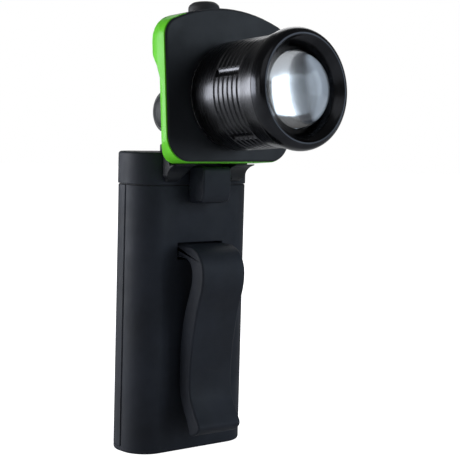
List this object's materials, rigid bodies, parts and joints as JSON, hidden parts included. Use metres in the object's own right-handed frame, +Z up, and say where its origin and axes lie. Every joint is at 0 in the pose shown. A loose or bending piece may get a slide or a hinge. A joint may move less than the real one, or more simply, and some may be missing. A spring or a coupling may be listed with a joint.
{
  "type": "tactical flashlight",
  "caption": "Flat-handled flashlight with a tilting square head, zoom lens barrel, belt clip, thumb latch and top push button.",
  "frame": {"origin": "centre of the handle's flat underside", "axes": "+Z up along the handle, towards the head; -Y is the front, where the lens and the belt clip face; X is across the handle"},
  "size_m": [0.057, 0.0804, 0.164],
  "materials": {
    "case_plastic": "fine textured black",
    "cover_plastic": "satin black",
    "green_plastic": "bright lime green, satin",
    "black_anodised": "black anodised, satin",
    "bare_aluminium": "machined",
    "steel": "plated",
    "brass": "plain",
    "rubber": "matte black",
    "clear_lens": "clear polished",
    "cell_wrap": "heat-shrink wrap",
    "board": "solder-mask green",
    "board_white": "white star board",
    "emitter": "yellow phosphor under a clear dome"
  },
  "bodies": {
    "handle": {"case_front": "case_plastic", "case_rear": "case_plastic", "case_screw_1": "steel", "case_screw_2": "steel", "case_screw_3": "steel", "case_screw_4": "steel", "cell_left": "cell_wrap", "cell_right": "cell_wrap", "contact_strip": "brass", "contact_spring_left": "steel", "contact_spring_right": "steel", "terminal_board": "board", "power_module": "board", "top_cap": "case_plastic", "cap_seal": "rubber", "clip_pin": "steel", "yoke": "cover_plastic", "yoke_screw_1": "steel", "yoke_screw_2": "steel", "pivot_pin": "steel", "pin_cap_left": "cover_plastic", "pin_cap_right": "cover_plastic"},
    "clip": {"belt_clip": "case_plastic"},
    "latch": {"thumb_latch": "case_plastic"},
    "head": {"front_cover": "cover_plastic", "rear_shell": "green_plastic", "top_panel": "cover_plastic", "switch_body": "cover_plastic", "switch_board": "board", "hinge_block": "cover_plastic", "hinge_screw_1": "steel", "hinge_screw_2": "steel", "friction_washer_left": "brass", "friction_washer_right": "brass", "head_screw_1": "steel", "head_screw_2": "steel", "head_screw_3": "steel", "head_screw_4": "steel", "guide_tube": "black_anodised", "focus_ring_seal": "rubber", "led_pedestal": "bare_aluminium", "led_board": "board_white", "led_emitter": "emitter", "driver_board": "board"},
    "zoom": {"focus_tube": "black_anodised", "bezel": "black_anodised", "lens_seal": "rubber", "lens": "clear_lens"},
    "button": {"push_button": "rubber"}
  },
  "joints": [
    {"name": "head_tilt", "type": "hinge", "parent": "handle", "child": "head", "pos_m": [0, -0.0052, 0.124], "axis": [-1, 0, 0], "range_deg": [0, 85]},
    {"name": "zoom_slide", "type": "slide", "parent": "head", "child": "zoom", "axis": [0, -0.9968, 0.0802], "range_m": [0, 0.008]},
    {"name": "button_press", "type": "slide", "parent": "head", "child": "button", "axis": [0, -0.0802, -0.9968], "range_m": [0, 0.0012], "stiffness_N_per_m": 800, "springref_m": -0.0015},
    {"name": "clip_open", "type": "hinge", "parent": "handle", "child": "clip", "pos_m": [0, -0.0093, 0.0737], "axis": [-1, 0, 0], "range_deg": [0, 6], "stiffness_Nm_per_rad": 2, "springref_deg": -5.73},
    {"name": "latch_slide", "type": "slide", "parent": "handle", "child": "latch", "axis": [0, 0, -1], "range_m": [0, 0.0022], "stiffness_N_per_m": 500, "springref_m": -0.002}
  ]
}
